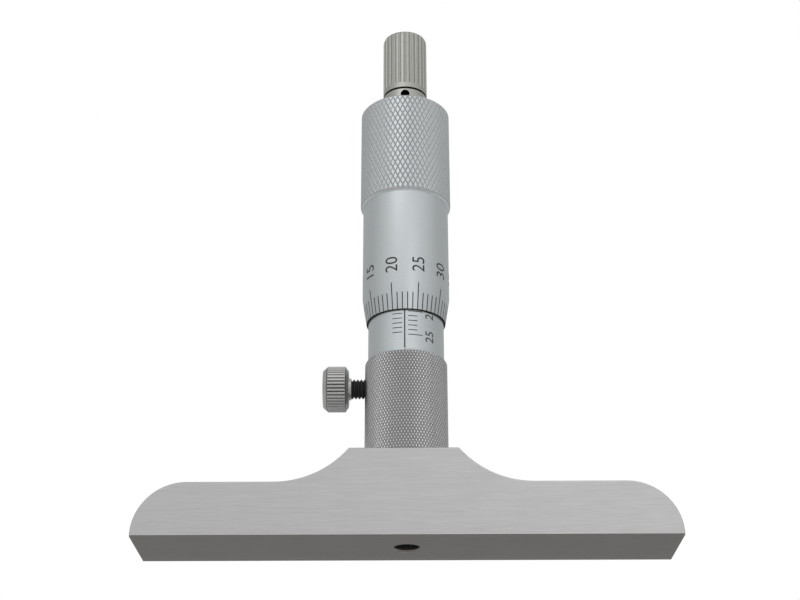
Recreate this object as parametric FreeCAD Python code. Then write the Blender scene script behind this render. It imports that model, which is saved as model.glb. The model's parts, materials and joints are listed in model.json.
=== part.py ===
import FreeCAD, Part
import math
import os

from FreeCAD import Vector

# Depth micrometer, in millimetres.
# Origin: centre of the rod hole on the measuring face. +Z runs up the spindle axis,
# +X along the base and away from the lock screw, -Y out of the side that carries the scale.

# ---------------------------------------------------------------- measuring base
BASE_LENGTH = 101.6
BASE_WIDTH = 17.0
WING_HEIGHT = 10.4
HUMP_HEIGHT = 17.0
HUMP_LENGTH = 20.6
HUMP_SHIFT = -0.5            # the ground hump stands a little to the lock screw's side
FLANK_RADIUS = 18.0
END_RADIUS = 10.0
BASE_BEVEL = 0.2
BASE_FLOOR = 4.5             # steel left under the stem
ROD_HOLE_RADIUS = 2.4
ROD_HOLE_CHAMFER = 0.3

# ---------------------------------------------------------------- stem, collar and sleeve
STEM_RADIUS = 6.0
COLLAR_RADIUS = 8.15
COLLAR_HEIGHT = 20.6
COLLAR_CHAMFER = 0.65
SLEEVE_RADIUS = 7.54
SLEEVE_WALL = 0.7
SPANNER_HOLE_RADIUS = 0.75
SPANNER_HOLE_LIFT = 1.9      # its centre above the collar

# ---------------------------------------------------------------- screw and scale
MEASURING_RANGE = 25.0
READING = 19.72              # what the scale shows at rest
SCALE_LIFT = 3.0             # the 25 line above the collar
SLEEVE_SPARE = 1.2           # sleeve left above the zero line
SPINDLE_RADIUS = 3.4
SPINDLE_BORE_RADIUS = 2.1
SPINDLE_END_LIFT = 0.42      # left under the spindle at the full reading
THREAD_RADIUS = 4.0
NUT_LENGTH = 10.0
NUT_SLOT_WIDTH = 0.6
NUT_SLOT_COUNT = 3
NUT_TAPER = 0.3
THREAD_SPARE = 0.6           # screw thread beyond the nut at both ends of the travel
THREAD_RELIEF = 0.2
ADJUSTER_LENGTH = 4.0
ADJUSTER_WALL = 1.3
ADJUSTER_PLAY = 0.6          # between the adjuster and the sleeve, and below the nut's top
ADJUSTER_SLOT_WIDTH = 1.2
ADJUSTER_SLOT_DEPTH = 0.8
ADJUSTER_SLOT_COUNT = 4
RUNNING_GAP = 0.05
THIMBLE_GAP = 0.08
CUT_MARGIN = 1.0             # how far cutters reach beyond what they cut

# ---------------------------------------------------------------- thimble
THIMBLE_RADIUS = 8.75
THIMBLE_EDGE_RADIUS = 7.9
THIMBLE_LENGTH = 48.75
BEVEL_LENGTH = 5.5
KNURL_RADIUS = 9.3
KNURL_START = 26.2           # above the thimble's edge
KNURL_STEP = 0.4
KNURL_TOP_CHAMFER = 0.3
THIMBLE_WALL = 1.0
THIMBLE_TOP_WALL = 3.0
TAPER_BOTTOM_RADIUS = 4.6
TAPER_TOP_RADIUS = 3.9
TAPER_DROP = 0.2             # the taper's small end below the thimble's top
SHOULDER_LENGTH = 0.6

# ---------------------------------------------------------------- clamp cap and ratchet
WASHER_RADIUS = 4.3
WASHER_THICKNESS = 0.4
CLAMP_CAP_RADIUS = 4.5
CLAMP_CAP_HEIGHT = 4.35
CLAMP_CAP_CHAMFER = 0.1
CLAMP_THREAD_RADIUS = 2.6
CLAMP_THREAD_LENGTH = 7.0
WRENCH_HOLE_RADIUS = 0.95
WRENCH_HOLE_DEPTH = 2.2
WRENCH_HOLE_DROP = 1.35      # its centre below the cap's top face
AXLE_RADIUS = 1.5
AXLE_THREAD_RADIUS = 1.1
AXLE_THREAD_LENGTH = 3.2
RATCHET_RADIUS = 4.67
RATCHET_HEIGHT = 14.45
RATCHET_GAP = 0.3            # between the clamp cap and the ratchet cap
RATCHET_RIM = 1.15
RATCHET_EDGE = 0.7           # radius of its rounded top edge
RATCHET_WALL = 1.05
RATCHET_TOP_WALL = 1.5
FLUTE_COUNT = 26
FLUTE_WIDTH = 0.66
FLUTE_DEPTH = 0.2
TOOTH_COUNT = 12
TOOTH_HEIGHT = 0.6
TOOTH_ROOT = 0.15            # how far a tooth is sunk into its disc
TOOTH_PLAY = 0.06
TOOTH_BAND = 1.4             # radial width of the face teeth
DISC_THICKNESS = 1.4
DISC_RADIUS = 3.4
KEY_WIDTH = 1.0
KEY_REACH = 0.6
KEY_LENGTH = 4.5
SPRING_WIRE = 0.45           # side of the square wire
SPRING_TURNS = 4
SPRING_RADIUS = 2.5
SCREW_HEAD_RADIUS = 2.1
SCREW_HEAD_HEIGHT = 0.7
SCREW_THREAD_RADIUS = 0.7
SCREW_THREAD_LENGTH = 3.0
SCREW_SLOT_WIDTH = 0.5
SCREW_SLOT_DEPTH = 0.4
HEAD_CLEARANCE = 0.2
END_PLAY = 0.05

# ---------------------------------------------------------------- lock screw
LOCK_HEIGHT = 32.1
LOCK_THREAD_RADIUS = 1.95
LOCK_RELEASE = 0.35          # room between pad and spindle when released
LOCK_TOUCH_GAP = 0.03        # what is left of it when the screw is tight
LOCK_PAD_RADIUS = 1.4
LOCK_PAD_LENGTH = 2.6
LOCK_NECK_RADIUS = 2.15
LOCK_NECK_LENGTH = 0.5
LOCK_KNOB_DISTANCE = 11.3    # from the spindle axis to the knob's inner face
LOCK_KNOB_RADIUS = 4.5
LOCK_KNOB_FACE_RADIUS = 3.6
LOCK_KNOB_WIDTH = 5.0
LOCK_KNOB_RIM = 0.25
LOCK_KNOB_OUTER_CHAMFER = 0.75
LOCK_KNOB_INNER_CHAMFER = 0.65
LOCK_KNOB_SOCKET = 3.0       # how far the stud reaches into the knob
LOCK_FLUTE_COUNT = 40
LOCK_FLUTE_WIDTH = 0.42
LOCK_FLUTE_DEPTH = 0.2

# ---------------------------------------------------------------- heights worked out
COLLAR_TOP = HUMP_HEIGHT + COLLAR_HEIGHT
LAST_LINE = COLLAR_TOP + SCALE_LIFT
ZERO_LINE = LAST_LINE + MEASURING_RANGE
LIFT_LEFT = READING                       # upward travel left, down to a reading of zero
DROP_LEFT = MEASURING_RANGE - READING     # downward travel left, to the full reading
THIMBLE_EDGE = LAST_LINE + DROP_LEFT
THIMBLE_TOP = THIMBLE_EDGE + THIMBLE_LENGTH
SLEEVE_TOP = ZERO_LINE + SLEEVE_SPARE
ADJUSTER_BOTTOM = SLEEVE_TOP + ADJUSTER_PLAY
ADJUSTER_TOP = ADJUSTER_BOTTOM + ADJUSTER_LENGTH
NUT_TOP = ADJUSTER_TOP + ADJUSTER_PLAY
NUT_BOTTOM = NUT_TOP - NUT_LENGTH
SPINDLE_BOTTOM = BASE_FLOOR + DROP_LEFT + SPINDLE_END_LIFT
THREAD_BOTTOM = NUT_BOTTOM - LIFT_LEFT - THREAD_SPARE
THREAD_TOP = NUT_TOP + DROP_LEFT + THREAD_SPARE
TAPER_TOP = THIMBLE_TOP - TAPER_DROP
TAPER_BOTTOM = THIMBLE_TOP - THIMBLE_TOP_WALL
WASHER_TOP = THIMBLE_TOP + WASHER_THICKNESS
CLAMP_CAP_TOP = WASHER_TOP + CLAMP_CAP_HEIGHT
RATCHET_BOTTOM = CLAMP_CAP_TOP + RATCHET_GAP
RATCHET_TOP = RATCHET_BOTTOM + RATCHET_HEIGHT
RATCHET_CEILING = RATCHET_TOP - RATCHET_TOP_WALL
AXLE_TOP = RATCHET_TOP - SCREW_HEAD_HEIGHT - HEAD_CLEARANCE / 2
WHEEL_TOP = CLAMP_CAP_TOP + DISC_THICKNESS
CLUTCH_BOTTOM = WHEEL_TOP + TOOTH_HEIGHT + TOOTH_PLAY
CLUTCH_TOP = CLUTCH_BOTTOM + DISC_THICKNESS


def export(shape, node):
    """Write one sub-part, after making sure that it is sound."""
    if not shape.isValid():
        raise ValueError(node + " is not a valid solid")
    if len(shape.Solids) != 1:
        raise ValueError(node + " is not one solid")
    shape.Solids[0].exportStep("parts/" + node + ".step")
    print(node, round(shape.Volume, 2))


def cylinder(radius, bottom, top):
    return Part.makeCylinder(radius, top - bottom, Vector(0, 0, bottom))


def tube(radius, bore, bottom, top):
    return cylinder(radius, bottom, top).cut(cylinder(bore, bottom, top))


def turned(points):
    """Turn a closed outline of (radius, height) points about the spindle axis."""
    corners = [Vector(radius, 0, height) for radius, height in points]
    face = Part.Face(Part.makePolygon(corners + corners[:1]))
    return face.revolve(Vector(0, 0, 0), Vector(0, 0, 1), 360)


def lock_turned(points):
    """Turn a closed outline of (x, radius) points about the lock screw's axis."""
    corners = [Vector(x, 0, LOCK_HEIGHT + radius) for x, radius in points]
    face = Part.Face(Part.makePolygon(corners + corners[:1]))
    return face.revolve(Vector(0, 0, LOCK_HEIGHT), Vector(1, 0, 0), 360)


def lock_cylinder(radius, start, end):
    """A cylinder on the lock screw's axis, between two places along X."""
    return Part.makeCylinder(radius, end - start, Vector(start, 0, LOCK_HEIGHT), Vector(1, 0, 0))


def around(shape, count, centre, axis):
    """Copies of a shape, evenly spaced about an axis."""
    copies = []
    for index in range(count):
        copy = shape.copy()
        copy.rotate(centre, axis, index * 360.0 / count)
        copies.append(copy)
    return Part.makeCompound(copies)


def edge_middle(radius):
    """How far the middle of a quarter round lies inside both of its sides."""
    return radius * (1 - math.sqrt(0.5))


# ---------------------------------------------------------------- base
def flank_run():
    """Length along X of the hollow flank between the hump's top and the wing."""
    rise = HUMP_HEIGHT - WING_HEIGHT
    return math.sqrt(FLANK_RADIUS ** 2 - (FLANK_RADIUS - rise) ** 2)


def flank(side):
    """The hollow flank on one side, from the hump's corner out to the wing."""
    corner_x = HUMP_SHIFT + side * HUMP_LENGTH / 2
    wing_x = corner_x + side * flank_run()
    centre_z = WING_HEIGHT + FLANK_RADIUS
    half_angle = math.asin(flank_run() / FLANK_RADIUS) / 2
    middle = Vector(
        wing_x - side * FLANK_RADIUS * math.sin(half_angle),
        0,
        centre_z - FLANK_RADIUS * math.cos(half_angle),
    )
    corner = Vector(corner_x, 0, HUMP_HEIGHT)
    return corner, middle, Vector(wing_x, 0, WING_HEIGHT)


def end_round(side):
    """The quarter round at one end of the base, from the wing down to the end face."""
    end_x = side * BASE_LENGTH / 2
    centre_x = end_x - side * END_RADIUS
    centre_z = WING_HEIGHT - END_RADIUS
    slant = END_RADIUS * math.sqrt(0.5)
    middle = Vector(centre_x + side * slant, 0, centre_z + slant)
    return Vector(centre_x, 0, WING_HEIGHT), middle, Vector(end_x, 0, centre_z)


def base_outline():
    left_corner, left_middle, left_wing = flank(-1)
    right_corner, right_middle, right_wing = flank(1)
    left_top, left_round, left_end = end_round(-1)
    right_top, right_round, right_end = end_round(1)
    left_foot = Vector(-BASE_LENGTH / 2, 0, 0)
    right_foot = Vector(BASE_LENGTH / 2, 0, 0)
    edges = [
        Part.makeLine(left_foot, left_end),
        Part.Arc(left_end, left_round, left_top).toShape(),
        Part.makeLine(left_top, left_wing),
        Part.Arc(left_wing, left_middle, left_corner).toShape(),
        Part.makeLine(left_corner, right_corner),
        Part.Arc(right_corner, right_middle, right_wing).toShape(),
        Part.makeLine(right_wing, right_top),
        Part.Arc(right_top, right_round, right_end).toShape(),
        Part.makeLine(right_end, right_foot),
        Part.makeLine(right_foot, left_foot),
    ]
    return Part.Wire(edges)


def base():
    outline = base_outline()
    outline.translate(Vector(0, -BASE_WIDTH / 2, 0))
    body = Part.Face(outline).extrude(Vector(0, BASE_WIDTH, 0))
    rims = [edge for edge in body.Edges if abs(edge.BoundBox.YLength) < 1e-6]
    body = body.makeChamfer(BASE_BEVEL, rims)
    stem_seat = cylinder(STEM_RADIUS, BASE_FLOOR, HUMP_HEIGHT)
    rod_hole = cylinder(ROD_HOLE_RADIUS, 0, BASE_FLOOR)
    mouth = Part.makeCone(ROD_HOLE_RADIUS + ROD_HOLE_CHAMFER, ROD_HOLE_RADIUS, ROD_HOLE_CHAMFER)
    return body.cut(stem_seat).cut(rod_hole).cut(mouth)


# ---------------------------------------------------------------- collar, stem and sleeve
def knurled_collar():
    body = turned([
        (STEM_RADIUS, HUMP_HEIGHT),
        (COLLAR_RADIUS, HUMP_HEIGHT),
        (COLLAR_RADIUS, COLLAR_TOP - COLLAR_CHAMFER),
        (COLLAR_RADIUS - COLLAR_CHAMFER, COLLAR_TOP),
        (STEM_RADIUS, COLLAR_TOP),
    ])
    screw_hole = lock_cylinder(LOCK_THREAD_RADIUS + RUNNING_GAP, -COLLAR_RADIUS - CUT_MARGIN, 0)
    return body.cut(screw_hole)


def inner_sleeve():
    """The fixed stem: guide for the spindle below, split nut with a tapered outside above."""
    sleeve_bore = SLEEVE_RADIUS - SLEEVE_WALL
    neck = sleeve_bore - ADJUSTER_WALL
    relief = THREAD_RADIUS + THREAD_RELIEF
    guide = SPINDLE_RADIUS + RUNNING_GAP
    guide_top = THREAD_BOTTOM - DROP_LEFT - THREAD_SPARE
    body = turned([
        (guide, BASE_FLOOR),
        (STEM_RADIUS, BASE_FLOOR),
        (STEM_RADIUS, COLLAR_TOP),
        (sleeve_bore, COLLAR_TOP),
        (sleeve_bore, SLEEVE_TOP),
        (neck, SLEEVE_TOP),
        (neck, ADJUSTER_TOP),
        (neck - NUT_TAPER, NUT_TOP),
        (THREAD_RADIUS + RUNNING_GAP, NUT_TOP),
        (THREAD_RADIUS + RUNNING_GAP, NUT_BOTTOM),
        (relief, NUT_BOTTOM),
        (relief, guide_top),
        (guide, guide_top),
    ])
    slot = Part.makeBox(neck + CUT_MARGIN, NUT_SLOT_WIDTH, NUT_LENGTH + CUT_MARGIN)
    slot.translate(Vector(0, -NUT_SLOT_WIDTH / 2, NUT_BOTTOM))
    body = body.cut(around(slot, NUT_SLOT_COUNT, Vector(0, 0, 0), Vector(0, 0, 1)))
    pad_hole = lock_cylinder(LOCK_THREAD_RADIUS + RUNNING_GAP, -STEM_RADIUS - CUT_MARGIN, 0)
    return body.cut(pad_hole)


def graduated_sleeve():
    body = tube(SLEEVE_RADIUS, SLEEVE_RADIUS - SLEEVE_WALL, COLLAR_TOP, SLEEVE_TOP)
    hole_height = COLLAR_TOP + SPANNER_HOLE_LIFT
    start = Vector(0, SLEEVE_RADIUS - SLEEVE_WALL - CUT_MARGIN, hole_height)
    length = SLEEVE_WALL + 2 * CUT_MARGIN
    hole = Part.makeCylinder(SPANNER_HOLE_RADIUS, length, start, Vector(0, 1, 0))
    return body.cut(hole)


def adjusting_nut():
    outer = SLEEVE_RADIUS - SLEEVE_WALL
    bore = outer - ADJUSTER_WALL
    body = tube(outer, bore, ADJUSTER_BOTTOM, ADJUSTER_TOP)
    slot = Part.makeBox(outer + CUT_MARGIN, ADJUSTER_SLOT_WIDTH, ADJUSTER_SLOT_DEPTH)
    slot.translate(Vector(0, -ADJUSTER_SLOT_WIDTH / 2, ADJUSTER_TOP - ADJUSTER_SLOT_DEPTH))
    return body.cut(around(slot, ADJUSTER_SLOT_COUNT, Vector(0, 0, 0), Vector(0, 0, 1)))


# ---------------------------------------------------------------- spindle and thimble
def spindle():
    """Hollow screw: plain guide below, thread in the middle, taper for the thimble on top."""
    collar_height = TAPER_BOTTOM - SHOULDER_LENGTH
    cavity_bottom = WASHER_TOP - CLAMP_THREAD_LENGTH - THREAD_SPARE
    return turned([
        (SPINDLE_BORE_RADIUS, SPINDLE_BOTTOM),
        (SPINDLE_RADIUS, SPINDLE_BOTTOM),
        (SPINDLE_RADIUS, THREAD_BOTTOM),
        (THREAD_RADIUS, THREAD_BOTTOM),
        (THREAD_RADIUS, THREAD_TOP),
        (SPINDLE_RADIUS + RUNNING_GAP, THREAD_TOP),
        (SPINDLE_RADIUS + RUNNING_GAP, collar_height),
        (TAPER_BOTTOM_RADIUS, collar_height),
        (TAPER_BOTTOM_RADIUS, TAPER_BOTTOM),
        (TAPER_TOP_RADIUS, TAPER_TOP),
        (CLAMP_THREAD_RADIUS, TAPER_TOP),
        (CLAMP_THREAD_RADIUS, cavity_bottom),
        (SPINDLE_BORE_RADIUS, cavity_bottom),
    ])


def thimble():
    lip_bore = SLEEVE_RADIUS + THIMBLE_GAP
    cavity = THIMBLE_RADIUS - THIMBLE_WALL
    bevel_top = THIMBLE_EDGE + BEVEL_LENGTH
    knurl_bottom = THIMBLE_EDGE + KNURL_START
    taper_slope = (TAPER_BOTTOM_RADIUS - TAPER_TOP_RADIUS) / (TAPER_TOP - TAPER_BOTTOM)
    hole_top = TAPER_TOP_RADIUS - taper_slope * TAPER_DROP
    return turned([
        (lip_bore, THIMBLE_EDGE),
        (THIMBLE_EDGE_RADIUS, THIMBLE_EDGE),
        (THIMBLE_RADIUS, bevel_top),
        (THIMBLE_RADIUS, knurl_bottom),
        (KNURL_RADIUS, knurl_bottom + KNURL_STEP),
        (KNURL_RADIUS, THIMBLE_TOP - KNURL_TOP_CHAMFER),
        (KNURL_RADIUS - KNURL_TOP_CHAMFER, THIMBLE_TOP),
        (hole_top, THIMBLE_TOP),
        (TAPER_BOTTOM_RADIUS, TAPER_BOTTOM),
        (cavity, TAPER_BOTTOM),
        (cavity, bevel_top),
        (lip_bore, bevel_top - THIMBLE_WALL),
    ])


# ---------------------------------------------------------------- clamp cap
def clamp_washer():
    return tube(WASHER_RADIUS, CLAMP_THREAD_RADIUS + RUNNING_GAP, THIMBLE_TOP, WASHER_TOP)


def clamp_cap():
    """Screws into the spindle and holds the rod's head; a pin wrench turns it."""
    flange = cylinder(CLAMP_CAP_RADIUS, WASHER_TOP, CLAMP_CAP_TOP)
    top_edge = [edge for edge in flange.Edges if edge.BoundBox.ZMin > WASHER_TOP]
    flange = flange.makeChamfer(CLAMP_CAP_CHAMFER, top_edge)
    thread = cylinder(CLAMP_THREAD_RADIUS, WASHER_TOP - CLAMP_THREAD_LENGTH, WASHER_TOP)
    axle_hole = cylinder(AXLE_THREAD_RADIUS, CLAMP_CAP_TOP - AXLE_THREAD_LENGTH, CLAMP_CAP_TOP)
    start = Vector(0, -CLAMP_CAP_RADIUS - CUT_MARGIN, CLAMP_CAP_TOP - WRENCH_HOLE_DROP)
    depth = WRENCH_HOLE_DEPTH + CUT_MARGIN
    wrench_hole = Part.makeCylinder(WRENCH_HOLE_RADIUS, depth, start, Vector(0, 1, 0))
    return flange.fuse(thread).cut(axle_hole).cut(wrench_hole).removeSplitter()


# ---------------------------------------------------------------- ratchet
def tooth(bottom, side):
    """One saw tooth on a face: a ramp on top of a sector, rising by the tooth's height."""
    step = 2 * math.pi / TOOTH_COUNT
    play = TOOTH_PLAY / DISC_RADIUS
    outer = DISC_RADIUS - RUNNING_GAP
    inner = outer - TOOTH_BAND
    low, high = play, step - play
    foot = bottom - side * TOOTH_ROOT

    def corner(radius, angle, height):
        return Vector(radius * math.cos(angle), radius * math.sin(angle), height)

    low_in, low_out = corner(inner, low, foot), corner(outer, low, foot)
    high_in, high_out = corner(inner, high, foot), corner(outer, high, foot)
    crest = bottom + side * TOOTH_HEIGHT
    tall = high if side > 0 else low
    crest_in, crest_out = corner(inner, tall, crest), corner(outer, tall, crest)
    short = low if side > 0 else high
    toe_in, toe_out = corner(inner, short, bottom), corner(outer, short, bottom)
    short_in, short_out = (low_in, low_out) if side > 0 else (high_in, high_out)
    tall_in, tall_out = (high_in, high_out) if side > 0 else (low_in, low_out)
    polygons = [
        [short_in, short_out, tall_out],
        [short_in, tall_out, tall_in],
        [short_in, short_out, toe_out, toe_in],
        [tall_in, tall_out, crest_out, crest_in],
        [short_out, tall_out, crest_out, toe_out],
        [short_in, tall_in, crest_in, toe_in],
        [toe_in, toe_out, crest_out],
        [toe_in, crest_out, crest_in],
    ]
    faces = [Part.Face(Part.makePolygon(points + points[:1])) for points in polygons]
    solid = Part.makeSolid(Part.makeShell(faces))
    if solid.Volume < 0:
        solid.reverse()
    return solid


def ratchet_axle():
    body = turned([
        (0, CLAMP_CAP_TOP - AXLE_THREAD_LENGTH),
        (AXLE_THREAD_RADIUS, CLAMP_CAP_TOP - AXLE_THREAD_LENGTH),
        (AXLE_THREAD_RADIUS, CLAMP_CAP_TOP),
        (AXLE_RADIUS, CLAMP_CAP_TOP),
        (AXLE_RADIUS, AXLE_TOP),
        (0, AXLE_TOP),
    ])
    return body.cut(cylinder(SCREW_THREAD_RADIUS, AXLE_TOP - SCREW_THREAD_LENGTH, AXLE_TOP))


def ratchet_wheel():
    disc = tube(DISC_RADIUS, AXLE_RADIUS, CLAMP_CAP_TOP, WHEEL_TOP)
    teeth = around(tooth(WHEEL_TOP, 1), TOOTH_COUNT, Vector(0, 0, 0), Vector(0, 0, 1))
    return disc.fuse(teeth.Solids).removeSplitter()


def ratchet_clutch():
    """The sliding half of the ratchet, keyed to the cap and pressed down by the spring."""
    disc = tube(DISC_RADIUS, AXLE_RADIUS + RUNNING_GAP, CLUTCH_BOTTOM, CLUTCH_TOP)
    keyway = Part.makeBox(2 * RATCHET_RADIUS, KEY_WIDTH + 2 * RUNNING_GAP, DISC_THICKNESS)
    keyway.translate(Vector(-RATCHET_RADIUS, -KEY_WIDTH / 2 - RUNNING_GAP, CLUTCH_BOTTOM))
    core_radius = RATCHET_RADIUS - RATCHET_WALL - KEY_REACH - RUNNING_GAP
    keyways = keyway.cut(cylinder(core_radius, CLUTCH_BOTTOM, CLUTCH_TOP))
    teeth = around(tooth(CLUTCH_BOTTOM, -1), TOOTH_COUNT, Vector(0, 0, 0), Vector(0, 0, 1))
    return disc.fuse(teeth.Solids).cut(keyways).removeSplitter()


def ratchet_spring():
    """Coil of square wire between the clutch and the cap's ceiling."""
    half = SPRING_WIRE / 2
    bottom = CLUTCH_TOP + half
    length = RATCHET_CEILING - half - bottom
    path = Part.makeHelix(length / SPRING_TURNS, length, SPRING_RADIUS)
    path.translate(Vector(0, 0, bottom))
    first = path.Edges[0]
    start = first.valueAt(first.FirstParameter)
    outward = Vector(half, 0, 0)
    upward = first.tangentAt(first.FirstParameter).cross(Vector(1, 0, 0)) * half
    corners = [
        start + outward + upward,
        start + outward - upward,
        start - outward - upward,
        start - outward + upward,
    ]
    section = Part.makePolygon(corners + corners[:1])
    return Part.Wire(path).makePipeShell([section], True, True)


def ratchet_cap():
    """Fluted cup over the ratchet, turned by the fingers."""
    bore = RATCHET_RADIUS - RATCHET_WALL
    outside = turned([
        (0, RATCHET_BOTTOM),
        (RATCHET_RADIUS, RATCHET_BOTTOM),
        (RATCHET_RADIUS, RATCHET_TOP - RATCHET_EDGE),
        (RATCHET_RADIUS - edge_middle(RATCHET_EDGE), RATCHET_TOP - edge_middle(RATCHET_EDGE)),
        (RATCHET_RADIUS - RATCHET_EDGE, RATCHET_TOP),
        (0, RATCHET_TOP),
    ])
    cutter_radius = ((FLUTE_WIDTH / 2) ** 2 + FLUTE_DEPTH ** 2) / (2 * FLUTE_DEPTH)
    cutter_place = RATCHET_RADIUS - FLUTE_DEPTH + cutter_radius
    start = Vector(cutter_place, 0, RATCHET_BOTTOM + RATCHET_RIM)
    cutter = Part.makeCylinder(cutter_radius, RATCHET_HEIGHT, start)
    cutter.rotate(Vector(0, 0, 0), Vector(0, 0, 1), -90)
    flutes = around(cutter, FLUTE_COUNT, Vector(0, 0, 0), Vector(0, 0, 1))
    inside = cylinder(bore, RATCHET_BOTTOM, RATCHET_CEILING)
    axle_hole = cylinder(AXLE_RADIUS + RUNNING_GAP, RATCHET_CEILING, RATCHET_TOP)
    head_seat = cylinder(SCREW_HEAD_RADIUS + HEAD_CLEARANCE, AXLE_TOP - END_PLAY, RATCHET_TOP)
    body = outside.cut(inside).cut(axle_hole).cut(head_seat).cut(flutes)
    key_bottom = CLUTCH_BOTTOM
    key = Part.makeBox(2 * bore + RATCHET_WALL, KEY_WIDTH, KEY_LENGTH)
    key.translate(Vector(-bore - RATCHET_WALL / 2, -KEY_WIDTH / 2, key_bottom))
    ring = tube(bore + RATCHET_WALL / 2, bore - KEY_REACH, key_bottom, key_bottom + KEY_LENGTH)
    return body.fuse(key.common(ring).Solids).removeSplitter()


def ratchet_screw():
    """Slotted screw that keeps the cap on its axle."""
    head_top = AXLE_TOP + SCREW_HEAD_HEIGHT
    head = cylinder(SCREW_HEAD_RADIUS, AXLE_TOP, head_top)
    thread = cylinder(SCREW_THREAD_RADIUS, AXLE_TOP - SCREW_THREAD_LENGTH, AXLE_TOP)
    reach = SCREW_HEAD_RADIUS + CUT_MARGIN
    slot = Part.makeBox(2 * reach, SCREW_SLOT_WIDTH, SCREW_SLOT_DEPTH)
    slot.translate(Vector(-reach, -SCREW_SLOT_WIDTH / 2, head_top - SCREW_SLOT_DEPTH))
    return head.fuse(thread).cut(slot).removeSplitter()


# ---------------------------------------------------------------- lock screw
PAD_TIP = -SPINDLE_RADIUS - LOCK_TOUCH_GAP - LOCK_RELEASE
PAD_TAIL = PAD_TIP - LOCK_PAD_LENGTH
KNOB_INNER = -LOCK_KNOB_DISTANCE
KNOB_OUTER = KNOB_INNER - LOCK_KNOB_WIDTH


def lock_pad():
    """Soft plug that the screw presses on the spindle."""
    return lock_cylinder(LOCK_PAD_RADIUS, PAD_TAIL, PAD_TIP)


def lock_stud():
    return lock_cylinder(LOCK_THREAD_RADIUS, KNOB_INNER - LOCK_KNOB_SOCKET, PAD_TAIL)


def lock_knob():
    body = lock_turned([
        (KNOB_OUTER, 0),
        (KNOB_OUTER, LOCK_KNOB_FACE_RADIUS),
        (KNOB_OUTER + LOCK_KNOB_RIM, LOCK_KNOB_FACE_RADIUS + LOCK_KNOB_RIM),
        (KNOB_OUTER + LOCK_KNOB_RIM + LOCK_KNOB_OUTER_CHAMFER, LOCK_KNOB_RADIUS),
        (KNOB_INNER - LOCK_KNOB_INNER_CHAMFER, LOCK_KNOB_RADIUS),
        (KNOB_INNER, LOCK_KNOB_FACE_RADIUS),
        (KNOB_INNER, LOCK_NECK_RADIUS),
        (KNOB_INNER + LOCK_NECK_LENGTH, LOCK_NECK_RADIUS),
        (KNOB_INNER + LOCK_NECK_LENGTH, 0),
    ])
    start = KNOB_OUTER - CUT_MARGIN
    root = LOCK_HEIGHT + LOCK_KNOB_RADIUS - LOCK_FLUTE_DEPTH
    mouth = root + 2 * LOCK_FLUTE_DEPTH
    notch = [
        Vector(start, 0, root),
        Vector(start, LOCK_FLUTE_WIDTH, mouth),
        Vector(start, -LOCK_FLUTE_WIDTH, mouth),
    ]
    section = Part.Face(Part.makePolygon(notch + notch[:1]))
    cutter = section.extrude(Vector(LOCK_KNOB_WIDTH + 2 * CUT_MARGIN, 0, 0))
    centre = Vector(0, 0, LOCK_HEIGHT)
    body = body.cut(around(cutter, LOCK_FLUTE_COUNT, centre, Vector(1, 0, 0)))
    socket_end = KNOB_INNER + LOCK_NECK_LENGTH
    return body.cut(lock_cylinder(LOCK_THREAD_RADIUS, KNOB_INNER - LOCK_KNOB_SOCKET, socket_end))


os.makedirs("parts", exist_ok=True)
export(base(), "base")
export(knurled_collar(), "knurled_collar")
export(inner_sleeve(), "inner_sleeve")
export(graduated_sleeve(), "graduated_sleeve")
export(adjusting_nut(), "adjusting_nut")
export(spindle(), "spindle")
export(thimble(), "thimble")
export(clamp_washer(), "clamp_washer")
export(clamp_cap(), "clamp_cap")
export(ratchet_axle(), "ratchet_axle")
export(ratchet_wheel(), "ratchet_wheel")
export(ratchet_clutch(), "ratchet_clutch")
export(ratchet_spring(), "ratchet_spring")
export(ratchet_cap(), "ratchet_cap")
export(ratchet_screw(), "ratchet_screw")
export(lock_pad(), "lock_pad")
export(lock_stud(), "lock_stud")
export(lock_knob(), "lock_knob")
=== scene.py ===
import json
import math

import bmesh
import bpy
from bpy.props import FloatProperty, FloatVectorProperty, IntProperty, PointerProperty
from bpy.types import Operator, Panel, PropertyGroup
from mathutils import Matrix, Vector


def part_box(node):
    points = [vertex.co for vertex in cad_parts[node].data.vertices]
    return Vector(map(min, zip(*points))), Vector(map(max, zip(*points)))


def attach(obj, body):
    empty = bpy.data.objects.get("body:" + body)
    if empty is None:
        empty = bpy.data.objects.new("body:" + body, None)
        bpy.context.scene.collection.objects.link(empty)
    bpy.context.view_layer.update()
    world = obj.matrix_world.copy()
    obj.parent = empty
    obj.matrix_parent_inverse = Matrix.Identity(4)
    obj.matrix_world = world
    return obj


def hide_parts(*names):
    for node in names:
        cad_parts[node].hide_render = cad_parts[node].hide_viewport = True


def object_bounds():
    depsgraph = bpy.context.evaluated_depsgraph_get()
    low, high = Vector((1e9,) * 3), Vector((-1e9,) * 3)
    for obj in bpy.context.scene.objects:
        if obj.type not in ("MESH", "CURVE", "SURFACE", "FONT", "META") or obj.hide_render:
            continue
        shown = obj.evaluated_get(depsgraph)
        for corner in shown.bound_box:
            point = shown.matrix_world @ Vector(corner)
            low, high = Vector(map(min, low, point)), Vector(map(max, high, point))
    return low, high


bl_info = {
    "name": "Depth Micrometer Looks",
    "version": (1, 0, 0),
    "blender": (4, 5, 0),
    "location": "View3D > Sidebar > Micrometer",
    "description": "Materials, knurls, scales, thread and stage for the depth micrometer",
    "category": "Object",
}

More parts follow.
